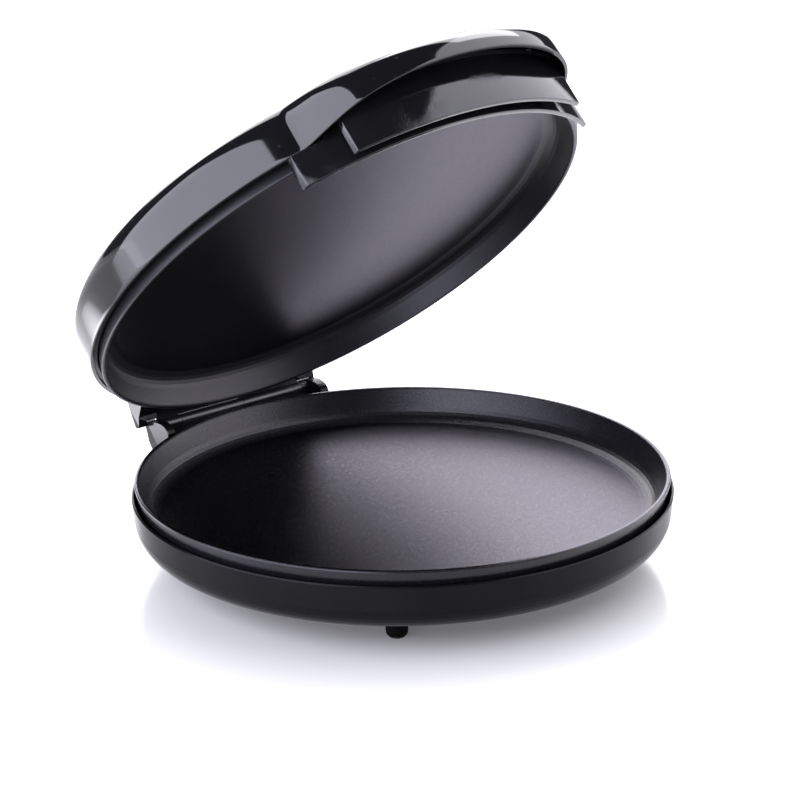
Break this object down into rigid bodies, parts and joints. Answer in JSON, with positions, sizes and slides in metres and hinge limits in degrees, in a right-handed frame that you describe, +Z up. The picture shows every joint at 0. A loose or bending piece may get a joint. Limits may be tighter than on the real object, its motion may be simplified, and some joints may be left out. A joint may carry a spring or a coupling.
{
  "type": "electric pizza maker",
  "caption": "Round tabletop pizza cooker with two heated pans, a domed lid on a rear barrel hinge and a lifting grip under the lid's front brow.",
  "frame": {"origin": "on the table under the feet, midway between the front of the base and the back of the opened lid, on the middle plane", "axes": "+Z up, -Y to the front where the grip is, +X to the right seen from the front"},
  "size_m": [0.328, 0.3508, 0.3301],
  "materials": {
    "base_plastic": "satin moulded plastic",
    "block_plastic": "natural nylon",
    "brass": "turned brass",
    "bright_sheet": "rolled sheet",
    "bright_steel": "zinc-plated steel",
    "element_sheath": "heat-darkened steel sheath",
    "foot_plastic": "moulded plastic",
    "fuse_metal": "drawn aluminium can",
    "hinge_black": "black satin paint on steel",
    "inner_plastic": "moulded plastic",
    "lamp": "neon lamp in a holder",
    "lens": "clear red moulding",
    "lid_gloss": "piano-black gloss",
    "nonstick": "non-stick coating on cast aluminium",
    "rubber": "black rubber",
    "thermostat_body": "phenolic moulding",
    "wire_cover": "braided glass-fibre sleeve"
  },
  "bodies": {
    "base": {"base_shell": "base_plastic", "lower_pan": "nonstick", "lower_element": "element_sheath", "lower_element_clips": "bright_sheet", "lower_heat_shield": "bright_sheet", "lower_shield_screws": "bright_steel", "thermostat": "thermostat_body", "thermal_fuse": "fuse_metal", "fuse_cradle": "block_plastic", "terminal_block": "block_plastic", "terminal_screws": "brass", "cord_gland": "rubber", "cord_clamp": "block_plastic", "lower_wiring": "wire_cover", "feet": "foot_plastic", "foot_pads": "rubber", "foot_screws": "bright_steel", "pan_screws": "bright_steel", "base_hinge_leaf": "hinge_black", "base_hinge_screws": "hinge_black", "hinge_pin": "bright_steel"},
    "lid": {"lid_cover": "lid_gloss", "lid_ring": "inner_plastic", "lower_visor": "lid_gloss", "upper_visor": "lid_gloss", "visor_screws": "bright_steel", "upper_pan": "nonstick", "upper_element": "element_sheath", "upper_element_clips": "bright_sheet", "upper_heat_shield": "bright_sheet", "upper_shield_screws": "bright_steel", "ring_screws": "bright_steel", "lid_lug_left": "lid_gloss", "lid_lug_right": "lid_gloss", "lid_hinge_block": "lid_gloss", "lid_hinge_leaf": "hinge_black", "lid_hinge_screws": "hinge_black", "pilot_lens": "lens", "pilot_lamp": "lamp", "upper_wiring": "wire_cover"}
  },
  "joints": [
    {"name": "lid_hinge", "type": "hinge", "parent": "base", "child": "lid", "pos_m": [0, 0.1536, 0.0548], "axis": [-1, 0, 0], "range_deg": [-45.8, 44.2]}
  ]
}
